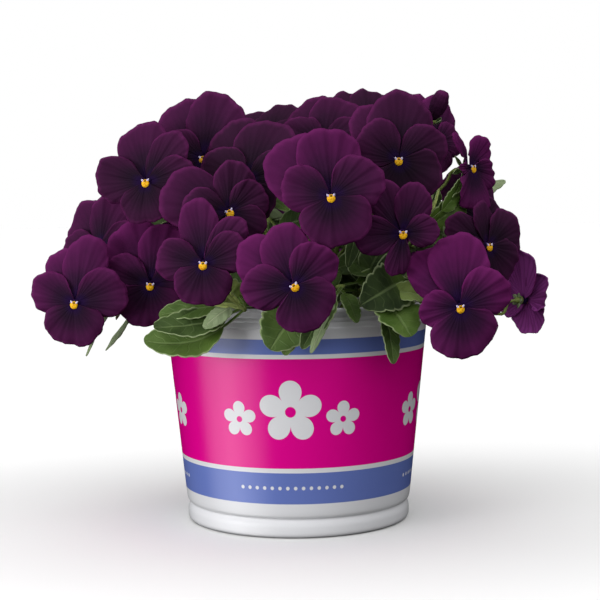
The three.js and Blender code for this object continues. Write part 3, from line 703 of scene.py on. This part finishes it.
def add_sheet(shape, points, thickness, across, along, tint):
    """Adds a thin closed sheet round a grid of points. Its front is on the side of the normals."""
    rows, columns, _ = points.shape
    offset = grid_normals(points) * (thickness / 2)
    vertices = np.concatenate([(points + offset).reshape(-1, 3), (points - offset).reshape(-1, 3)])
    half = rows * columns
    front = [(a, a + 1, a + columns + 1, a + columns)
             for i in range(rows - 1) for a in range(i * columns, (i + 1) * columns - 1)]
    faces = front + [tuple(half + a for a in face[::-1]) for face in front]
    grid = np.arange(half).reshape(rows, columns)
    border = [*grid[0], *grid[1:, -1], *grid[-1, -2::-1], *grid[-2:0:-1, 0]]
    faces += [(a, a + half, b + half, b) for a, b in zip(border, border[1:] + border[:1])]
    flat = np.stack(np.broadcast_arrays(across, along, 1.0), axis=-1).reshape(-1, 3)
    back = flat.copy()
    back[:, 2] = 0.0
    shape.add(vertices, faces, places=np.concatenate([flat, back]), tint=tint)


def add_tube(shape, points, radii, sides, material):
    """Adds a round tube through points, with a radius at each of them."""
    along = np.gradient(points, axis=0)
    along /= np.linalg.norm(along, axis=1, keepdims=True)
    side = np.array([1.0, 0.0, 0.0])
    if abs(along[0][0]) > 0.9:
        side = np.array([0.0, 1.0, 0.0])
    turns = np.arange(sides) * 2 * math.pi / sides
    rings = []
    for point, forward, radius in zip(points, along, radii):
        side = unit(side - forward * side.dot(forward))
        other = np.cross(forward, side)
        ring = np.outer(np.cos(turns), side) + np.outer(np.sin(turns), other)
        rings.append(point + radius * ring)
    shape.add(np.vstack(rings), tube_faces(len(rings), sides), material)


def turned(profile, segments):
    """Points and faces of a closed solid turned about the Z axis from (radius, height) points.
    The first and the last of them are on the axis."""
    inner = profile[1:-1]
    rings = [circle(radius, segments, height) for radius, height in inner]
    points = np.vstack(rings + [[[0, 0, profile[0][1]], [0, 0, profile[-1][1]]]])
    bottom, top = len(points) - 2, len(points) - 1
    faces = []
    for k in range(segments):
        after = (k + 1) % segments
        faces.append((bottom, after, k))
        for i in range(len(inner) - 1):
            a, b = i * segments + k, i * segments + after
            faces.append((a, b, b + segments, a + segments))
        last = (len(inner) - 1) * segments
        faces.append((top, last + k, last + after))
    return points, faces


def curve_points(points, per_span, last=1.0):
    """Points of a centripetal Catmull-Rom curve through the given ones, up to a share of it."""
    points = [np.asarray(p, float) for p in points]
    spans = len(points) - 1
    padded = [2 * points[0] - points[1], *points, 2 * points[-1] - points[-2]]
    count = max(2, round(spans * per_span * last) + 1)
    found = []
    for t in np.linspace(0, last, count):
        place = t * spans
        i = min(int(place), spans - 1)
        w = place - i
        p0, p1, p2, p3 = padded[i:i + 4]
        d0, d1, d2 = (math.sqrt(np.linalg.norm(b - a)) for a, b in ((p0, p1), (p1, p2), (p2, p3)))
        m1 = ((p1 - p0) / d0 - (p2 - p0) / (d0 + d1) + (p2 - p1) / d1) * d1
        m2 = ((p2 - p1) / d1 - (p3 - p1) / (d1 + d2) + (p3 - p2) / d2) * d1
        found.append(p1 + m1 * w + (3 * (p2 - p1) - 2 * m1 - m2) * w ** 2
                     + (2 * (p1 - p2) + m1 + m2) * w ** 3)
    return np.array(found)


def bloom_frame(flower):
    """The directions across, up and forward of a flower, as a matrix, and its eye's place."""
    azimuth, elevation = flower["face"]
    rise = math.radians(elevation)
    facing = np.array(around(azimuth, math.cos(rise), math.sin(rise)))
    up = unit(np.array([0, 0, 1.0]) - facing * facing[2])
    return np.stack([np.cross(up, facing), up, facing]), np.array(flower["at"], float)


def placed(points, flower):
    """Points in a flower's frame, moved to where the flower is."""
    axes, eye = bloom_frame(flower)
    points = np.asarray(points, float)
    return (points.reshape(-1, 3) @ axes + eye).reshape(points.shape)


def inner_radius(height):
    share = (height - PRINT_BOTTOM[1]) / (PRINT_TOP[1] - PRINT_BOTTOM[1])
    return PRINT_BOTTOM[0] + share * (PRINT_TOP[0] - PRINT_BOTTOM[0]) - WALL


def make_tub():
    profile = [
        (0, 0), (29.4, 0), (30.2, 0.2), (32.8, 2.8), (33.6, 3), (57.4, 3), (58.2, 2.8),
        (60.6, 0.2), (61.2, 0), (68.4, 0), (69.5, 0.25), (70.4, 1), (70.9, 2.1), (71, 3.4),
        (71, 6.2), (70.8, 7.8), (70.3, 9.2), (69.7, 10.3), (69.4, 11.1), (69.6, 11.7),
        (70.4, 12.2), (71.1, 13), (71.5, 14.2), (71.9, 17), PRINT_BOTTOM, (74.4, 40.8),
        (78.5, 80.9), PRINT_TOP, (83.05, 126.2), (83.1, 126.8), (82.9, 127.3), (82.4, 127.6),
        (82.25, 128), (82.45, 130.4), (82.3, 130.6), (82.5, 130.8), (82.65, 133.1),
        (82.5, 133.3), (82.7, 133.5), (82.85, 135.4), (83.2, 136.1), (83.55, 136.9),
        (83.6, 137.7), (83.3, 138.5), (82.7, 138.95), (82.1, 138.95), (81.5, 138.6),
        (81.1, 137.8), (inner_radius(COLLAR_STEP_HEIGHT), COLLAR_STEP_HEIGHT),
        (inner_radius(PRINT_BOTTOM[1]), PRINT_BOTTOM[1]), (67.8, 11.1), (66.8, 6.6),
        (65.4, 5), (FLOOR_RADIUS, FLOOR_HEIGHT), (0, FLOOR_HEIGHT),
    ]
    shape = Shape("tub")
    shape.add(*turned(profile, TUB_SEGMENTS))
    tub = shape.piece("tub_shell", ["tub"])
    for i in range(DRAIN_HOLES):
        place = np.array(around(i * 360 / DRAIN_HOLES, DRAIN_CIRCLE, DRILL_HEIGHT)) * MM
        bpy.ops.mesh.primitive_cylinder_add(vertices=32, radius=DRAIN_HOLE_RADIUS * MM,
                                            depth=DRILL_LENGTH * MM, location=place)
        drill = bpy.context.object
        cut = tub.modifiers.new("drain", "BOOLEAN")
        cut.operation = "DIFFERENCE"
        cut.solver = "EXACT"
        cut.object = drill
        bpy.context.view_layer.objects.active = tub
        bpy.ops.object.modifier_apply(modifier=cut.name)
        bpy.data.objects.remove(drill)
    tub.data.polygons.foreach_set("use_smooth", [True] * len(tub.data.polygons))
    tub.data.set_sharp_from_angle(angle=math.radians(SHARP_ANGLE))


def mix_height(x, y):
    """The height of the growing mix's rough top at a place."""
    share = math.hypot(x, y) / inner_radius(MIX_EDGE_HEIGHT)
    crown = MIX_CROWN_HEIGHT - (MIX_CROWN_HEIGHT - MIX_EDGE_HEIGHT) * share ** 2
    rough = noise.fractal(Vector((x, y, 0)) * 0.11, 1.0, 2.0, 4)
    return crown - MIX_SINK + MIX_BUMP * rough


def make_growing_mix():
    draw = random.Random(MIX_SEED)
    shape = Shape("mix", "perlite")
    segments, rings = 96, 22
    radius = inner_radius(MIX_EDGE_HEIGHT) - MIX_GAP
    points = [[0, 0, mix_height(0, 0)]]
    for i in range(1, rings + 1):
        for x, y, _ in circle(radius * i / rings, segments):
            points.append([x, y, mix_height(x, y)])
    points += [*circle(inner_radius(PRINT_BOTTOM[1]) - MIX_GAP, segments, PRINT_BOTTOM[1]),
               *circle(FLOOR_RADIUS - MIX_GAP, segments, FLOOR_HEIGHT + MIX_GAP)]
    faces = [(0, 1 + k, 1 + (k + 1) % segments) for k in range(segments)]
    last = len(points) - segments
    for first in range(1, last, segments):
        for k in range(segments):
            a, b = first + k, first + (k + 1) % segments
            faces.append((a, a + segments, b + segments, b))
    faces.append(tuple(range(len(points) - 1, last - 1, -1)))
    shape.add(points, faces)
    for i in range(CRUMBS):
        away = radius * CRUMB_REACH * math.sqrt(draw.random())
        a = draw.uniform(0, 2 * math.pi)
        x, y = away * math.cos(a), away * math.sin(a)
        size = draw.uniform(*CRUMB_SIZES)
        material = "mix" if i % PERLITE_EVERY else "perlite"
        add_lump(shape, draw, (x, y, mix_height(x, y) + size * 0.2), size, material)
    shape.piece("growing_mix_fill", ["growing_mix"])


def add_lump(shape, draw, place, size, material):
    """Adds a small uneven lump."""
    stretch = [draw.uniform(0.7, 1.3) for _ in range(3)]
    slopes = (math.pi * i / 4 for i in range(1, 4))
    profile = [(0, -1), *((math.sin(a), -math.cos(a)) for a in slopes), (0, 1)]
    points, faces = turned(profile, 7)
    jitter = np.array([[draw.uniform(0.78, 1.15)] for _ in points])
    turn = Matrix.Rotation(draw.uniform(0, 6.3), 3, Vector((draw.random(), draw.random(), 1)))
    points = (points * jitter * stretch * size) @ np.array(turn) + np.array(place)
    shape.add(points, faces, material)


def petals_of(bloom, draw):
    """The five petals of a bloom. Each differs a little from the plain one, and more by name."""
    petals = []
    for plain, own in zip(PETALS, bloom["petals"]):
        petal = dict(plain, seed=draw.uniform(0, 9), tint=draw.random())
        vary = 0.35 if own else 1.0
        petal.update(zip(("turn", "spread", "length", "round"), own))
        petal["turn"] += draw.uniform(-7, 7) * vary
        petal["spread"] *= 1 + draw.uniform(-0.06, 0.08) * vary
        petal["length"] *= 1 + draw.uniform(-0.06, 0.05) * vary
        petal["skew"] = draw.uniform(-0.1, 0.1)
        petal["camber"] = draw.uniform(-0.01, 0.05)
        petals.append(petal)
    return petals


def waves(table, place, phase):
    """The sum of a table's waves at a place."""
    return sum(height * np.sin(count * place + share * phase) for count, share, height in table)


def ridge(across, width):
    """1 on the middle line, fading out to both sides."""
    return np.exp(-((across / width) ** 2))


def petal_surface(petal, bloom, index, across, out):
    """Points of a petal in its bloom's frame: across is from -1 to 1, and out from 0 to 1."""
    size, fold, seed = bloom["size"], bloom.get("back", 0), petal["seed"]
    turn = np.radians(petal["turn"] + bloom["turn"] + petal["spread"] * across)
    outline = np.cos(np.radians(OUTLINE_ARC * across)) ** petal["round"]
    outline = outline * (1 + petal["skew"] * across) - petal.get("notch", 0) * ridge(across, 0.2)
    outline = outline * (1 + waves(MARGIN_WAVES, turn, seed))
    reach = size * petal["length"] * outline * out
    bend = np.radians(petal["lean"] - fold + (petal["curl"] - fold) * out)
    swell = SWELL * (reach / size) ** 2 * waves(SWELL_WAVES, turn, index)
    ruffle = RUFFLE * out ** 5 * waves(RUFFLE_WAVES, turn, seed)
    pleat = PLEAT * out ** 1.5 * waves(PLEAT_WAVES, across, seed)
    crease = -CREASE * ridge(across, 0.12) * np.sin(math.pi * out)
    camber = petal["camber"] * reach * across ** 2
    rolled = -ROLL_BACK * np.clip((out - ROLL_FROM) / (1 - ROLL_FROM), 0, 1) ** 2
    return np.stack([
        reach * np.cos(bend) * np.sin(turn),
        reach * np.cos(bend) * np.cos(turn),
        petal["layer"] + reach * np.sin(bend) + swell + ruffle + pleat + crease + camber + rolled,
    ], axis=-1)


def make_bloom(bloom, index):
    draw = random.Random(BLOOM_SEED + index)
    shape = Shape("petal", "eye", "beard", "throat")
    out = (PETAL_ROOT + (1 - PETAL_ROOT) * np.linspace(0, 1, PETAL_ROWS) ** 0.9)[:, None]
    across = np.linspace(-1, 1, PETAL_COLUMNS)[None, :]
    for petal in petals_of(bloom, draw):
        surface = placed(petal_surface(petal, bloom, index, across, out), bloom)
        tint = petal["light"] * bloom["light"] + 0.15 * petal["tint"]
        add_sheet(shape, surface, PETAL_THICKNESS, across, out, tint)
    core, faces = turned(CORE, 10)
    shape.add(placed(core, bloom), faces, places=[[0, 0.1, 1]] * len(core))
    turn = math.radians(bloom["turn"])
    face = np.array([[math.cos(turn), -math.sin(turn), 0], [math.sin(turn), math.cos(turn), 0],
                     [0, 0, 1.0]])
    knob, faces = turned(KNOB, 14)
    for material, tilt, half_sizes, place in KNOBS:
        tilted = np.array(Matrix.Rotation(math.radians(tilt), 3, "Z")).T
        shape.add(placed(((knob * half_sizes) @ tilted + place) @ face, bloom), faces, material)
    number = f"{index + 1:02d}"
    shape.piece(f"pansy_flower_{number}", [f"bloom_{number}"])


def make_bud(bud, index):
    """A furled bud, with the edges of its petals wound round it."""
    shape = Shape("petal")
    heights = np.linspace(BUD[0][0], BUD[-1][0], BUD_RINGS)
    turns = np.arange(BUD_SIDES) * 2 * math.pi / BUD_SIDES
    rings = []
    for height, radius in zip(heights, np.interp(heights, *zip(*BUD))):
        furl = 0.12 * np.mod((turns * 3 / (2 * math.pi)) + height * 0.07, 1.0)
        crease = 0.05 * np.sin(turns * 11 + height * 0.5) * np.sin(height * 0.6 + turns * 2)
        rings.append(circle(radius * (0.9 + furl + crease), BUD_SIDES, height))
    share = np.repeat(np.linspace(0.45, 1.0, BUD_RINGS), BUD_SIDES)
    places = np.stack([np.tile(np.linspace(-1, 1, BUD_SIDES), BUD_RINGS), share, share * 0 + 1], 1)
    faces = tube_faces(BUD_RINGS, BUD_SIDES)
    shape.add(placed(np.vstack(rings), bud), faces, places=places, tint=0.3)
    number = f"{index + 1:02d}"
    shape.piece(f"furled_bud_{number}", [f"bud_{number}"])


def stem_curve(root, *higher):
    return [around(*root, STEM_ROOT_HEIGHT), around(*root, MIX_CROWN_HEIGHT + 3),
            *(around(*point) for point in higher)]


def stem_point(curve, start):
    """A point on the last two of a stem's three spans, from its start at the mix, 0, to 1."""
    return curve_points(curve, 1, (1 + 2 * start * LAST_LEAF) / 3)[-1]


def add_leaf(shape, start, leaf, tint, grid=LEAF_GRID):
    """Adds a leaf with a scalloped edge, from a point on its stem to its tip."""
    tip = np.array(leaf["tip"], float)
    chord = tip - start
    length = np.linalg.norm(chord)
    chord /= length
    up = unit(tip * [1, 1, 0]) * leaf["outward"] + [0, 0, 1]
    up = unit(up - chord * up.dot(chord))
    roll = math.radians(leaf.get("roll", 0))
    up = up * math.cos(roll) + np.cross(chord, up) * math.sin(roll)
    side = np.cross(chord, up)
    along = (1 - (1 - np.linspace(0, 1, grid[0])) ** 1.5)[:, None]
    across = np.linspace(-1, 1, grid[1])[None, :]
    stalk = leaf.get("stalk", 0.25)
    share = np.clip((along - stalk) / (1 - stalk), 0, 1)
    oval = np.maximum(np.sin(np.pi * share ** 0.8), 0) ** 0.46
    teeth = 1 - 0.15 * (1 - np.abs(np.sin(np.pi * LEAF_TEETH * share)) ** 0.6)
    petiole = PETIOLE_HALF_WIDTH * np.clip(1.2 - along * 1.1, 0.2, 1)
    width = np.maximum(leaf["width"] / 2 * oval * teeth, petiole) * across
    bend = leaf.get("bend", 0) * length * np.sin(np.pi * along)
    arch = leaf.get("arch", 0.12) * length * np.sin(np.pi * along)
    fold = np.sqrt(width ** 2 + 0.5) * leaf.get("fold", 0.2)
    seed = tip[0] * 0.37 + tip[2] * 0.11
    ripple = LEAF_RIPPLE * leaf["width"] * across ** 2 * oval
    ripple = ripple * np.sin(15 * along + 2 * across + seed)
    quilt = LEAF_QUILT * oval * np.sin(34 * (along - 0.12 * np.abs(across)))
    lift = arch + fold + ripple + quilt - LEAF_GROOVE * ridge(across, 0.12) * oval
    points = (start + chord * (along * length + 0 * across)[..., None]
              + up * lift[..., None] + side * (width + bend)[..., None])
    add_sheet(shape, points, LEAF_THICKNESS, across, along, tint)


def clear_of_flowers(start, tip):
    """Whether a straight leaf from start to tip passes no flower too closely."""
    for flower in BLOOMS + BUDS:
        axes, eye = bloom_frame(flower)
        for share in (0.4, 0.6, 0.8, 1.0):
            x, y, depth = axes @ (start + (tip - start) * share - eye)
            beside = math.hypot(x, y) < flower.get("size", 8) * FLOWER_ROOM
            if beside and FLOWER_DEPTHS[0] < depth < FLOWER_DEPTHS[1]:
                return False
    return True


def inner_leaves(curve, draw):
    """Leaves that fill the middle of the plants, under the flowers."""
    found = []
    reach, rise = INNER_REACH
    for _ in range(INNER_TRIES):
        share = draw.uniform(0.15, 1.0)
        start = stem_point(curve, share)
        azimuth = math.degrees(math.atan2(start[0], -start[1])) + draw.uniform(-80, 80)
        radius, height = draw.uniform(20, reach), draw.uniform(6, rise)
        tip = np.array(around(azimuth, radius, MIX_CROWN_HEIGHT + height))
        inside = (radius / reach) ** 2 + (height / rise) ** 2 < 1
        fits = INNER_LENGTHS[0] < math.dist(start, tip) < INNER_LENGTHS[1]
        if inside and fits and clear_of_flowers(start, tip):
            found.append(blade(share, tip, draw.uniform(*INNER_WIDTHS), draw.uniform(0.6, 2.4),
                               roll=draw.uniform(-30, 30), stalk=0.3))
        if len(found) == INNER_LEAVES:
            break
    return found


def add_stalk_and_calyx(shape, start, flower):
    def behind(distance, drop):
        return placed([0, 0, -distance], flower) - [0, 0, drop]
    hook, neck = behind(20, 8), behind(15, 1)
    halfway = (start + hook) / 2
    halfway[2] = max(halfway[2] - 3, RIM_TOP + 7)
    route = curve_points([start, halfway, hook, neck, behind(8, 0)], 6)
    radii = np.linspace(STALK_RADIUS * 1.1, STALK_RADIUS * 0.9, len(route))
    add_tube(shape, route, radii, 8, "stem")
    cup, faces = turned(CUP, 12)
    shape.add(placed(cup, flower), faces, "stem")
    for i in range(SEPALS):
        add_sepal(shape, flower, math.radians(36 + i * 360 / SEPALS + flower.get("turn", 0)))


def add_sepal(shape, flower, turn):
    """Adds a pointed green sepal that lies against the back of a flower."""
    along = np.linspace(0, 1, 8)[:, None]
    across = np.linspace(-1, 1, 5)[None, :]
    away = 1.5 + SEPAL_LENGTH * flower.get("sepals", 1.0) * along
    half = SEPAL_HALF_WIDTH * np.maximum(np.sin(np.pi * (0.15 + 0.82 * along)), 0.06)
    depth = -7.2 - 1.2 * along + 0.5 * across ** 2
    if flower in BUDS:
        away = 3.2 + 2.6 * np.sin(along * np.pi / 2)
        depth = -6.6 + 4 * along + 0 * across
    sideways = half * across
    points = np.stack(np.broadcast_arrays(
        away * math.sin(turn) + sideways * math.cos(turn),
        away * math.cos(turn) - sideways * math.sin(turn),
        depth), axis=-1)
    add_sheet(shape, placed(points, flower), SEPAL_THICKNESS, across, 0.3 + 0.6 * along, 0.2)


def carrier(flower):
    """The index of the stem that carries a flower."""
    share = 0.2 if flower["at"][2] > HIGH_FLOWER else 0.45
    inward = np.array(flower["at"][:2]) * share
    distances = [math.dist(around(*root, 0)[:2], inward) for (root, *_), _ in STEMS]
    return distances.index(min(distances))


def make_stem(through, leaves, index):
    draw = random.Random(STEM_SEED + index)
    shape = Shape("leaf", "stem")
    curve = stem_curve(*through)
    route = curve_points(curve, 9)
    radii = np.linspace(STEM_RADIUS * 1.1, STEM_RADIUS * 0.75, len(route))
    add_tube(shape, route, radii, 10, "stem")
    for leaf in leaves:
        add_leaf(shape, stem_point(curve, leaf["start"]), leaf, leaf.get("tint", draw.random()))
    carried = sorted((f for f in BLOOMS + BUDS if carrier(f) == index), key=lambda f: f["at"][2])
    for i, flower in enumerate(carried):
        start = 0.35 + 0.45 * i / max(1, len(carried) - 1)
        add_stalk_and_calyx(shape, stem_point(curve, start), flower)
    # The inner leaves, under the flowers, take only the darker half of the tints, as painted
    # shade.
    for leaf in inner_leaves(curve, random.Random(INNER_LEAF_SEED + index)):
        start = stem_point(curve, leaf["start"])
        add_leaf(shape, start, leaf, draw.random() * 0.5, INNER_LEAF_GRID)
    number = f"{index + 1:02d}"
    shape.piece(f"pansy_greens_{number}", [f"leafy_stem_{number}"])


def make_camera():
    data = bpy.data.cameras.new("camera")
    data.lens = CAMERA_LENS
    data.sensor_width = CAMERA_SENSOR
    camera = new_object("camera", data)
    turn = (Matrix.Rotation(math.radians(90 - CAMERA_PITCH), 4, "X")
            @ Matrix.Rotation(math.radians(CAMERA_ROLL), 4, "Z"))
    camera.matrix_world = Matrix.Translation(CAMERA_PLACE) @ turn
    bpy.context.scene.camera = camera


def make_floor():
    mesh = bpy.data.meshes.new("studio_floor")
    far, low = 12.0, -0.0002
    corners = [(-far, -far, low), (far, -far, low), (far, far, low), (-far, far, low)]
    mesh.from_pydata(corners, [], [(0, 1, 2, 3)])
    g = Graph("studio_floor", 0.9, 0.0)
    x, y, _ = g.split(g.object_place)
    # A painted soft shadow: the floor is a little grey round the pot and white further off, wider
    # to the sides than to the front.
    away = g.distance(x, g.times(y, 2.0))
    near = g.mix(g.noise(3.0), srgb(241, 241, 241), srgb(238, 238, 238))
    g.colour(g.mix(g.ease(away, 0.2, 0.6), near, srgb(255, 255, 255)))
    mesh.materials.append(g.material)
    floor = new_object("studio_floor", mesh)
    floor.visible_glossy = False
    floor.visible_diffuse = False


def make_world():
    """White behind everything, and a soft dome of light that is brightest straight above."""
    world = bpy.data.worlds.new("studio")
    world.use_nodes = True
    node, link = world.node_tree.nodes.new, world.node_tree.links.new
    world.node_tree.nodes.clear()
    towards = node("ShaderNodeVectorMath")
    towards.operation = "DOT_PRODUCT"
    towards.inputs[1].default_value = Vector(DOME_AXIS).normalized()
    link(node("ShaderNodeTexCoord").outputs["Generated"], towards.inputs[0])
    level = node("ShaderNodeMapRange")
    for socket, value in zip(level.inputs[1:], (*DOME_COSINES, *DOME_LEVELS)):
        socket.default_value = value
    link(towards.outputs["Value"], level.inputs[0])
    seen = node("ShaderNodeMix")
    link(node("ShaderNodeLightPath").outputs["Is Camera Ray"], seen.inputs[0])
    link(level.outputs[0], seen.inputs[2])
    seen.inputs[3].default_value = 1.0
    background = node("ShaderNodeBackground")
    background.inputs["Color"].default_value = (1.0, 1.0, 1.0, 1.0)
    link(seen.outputs[0], background.inputs["Strength"])
    link(background.outputs[0], node("ShaderNodeOutputWorld").inputs["Surface"])
    world.cycles_visibility.glossy = False
    bpy.context.scene.world = world


def make_light(name, place, target, width, height, power, shine_only=False):
    data = bpy.data.lights.new(name, "AREA")
    data.shape = "RECTANGLE"
    data.size = width
    data.size_y = height
    data.energy = power
    light = new_object(name, data)
    light.location = place
    aim = Vector(target) - Vector(place)
    light.rotation_euler = aim.to_track_quat("-Z", "Y").to_euler()
    light.visible_camera = False
    light.visible_glossy = shine_only
    light.visible_diffuse = not shine_only


make_camera()
make_floor()
make_world()
for panel in PANELS:
    make_light(*panel)
for width, power, away in GLINT_STEPS:
    place = (GLINT_PLACE[0] * away, GLINT_PLACE[1] * away, GLINT_PLACE[2])
    make_light("label_glint", place, GLINT_TARGET, width, GLINT_HEIGHT, power, shine_only=True)
bpy.context.scene.view_settings.view_transform = "Standard"

make_tub()
make_growing_mix()
for i, bloom in enumerate(BLOOMS):
    make_bloom(bloom, i)
for i, bud in enumerate(BUDS):
    make_bud(bud, i)
for i, (through, leaves) in enumerate(STEMS):
    make_stem(through, leaves, i)
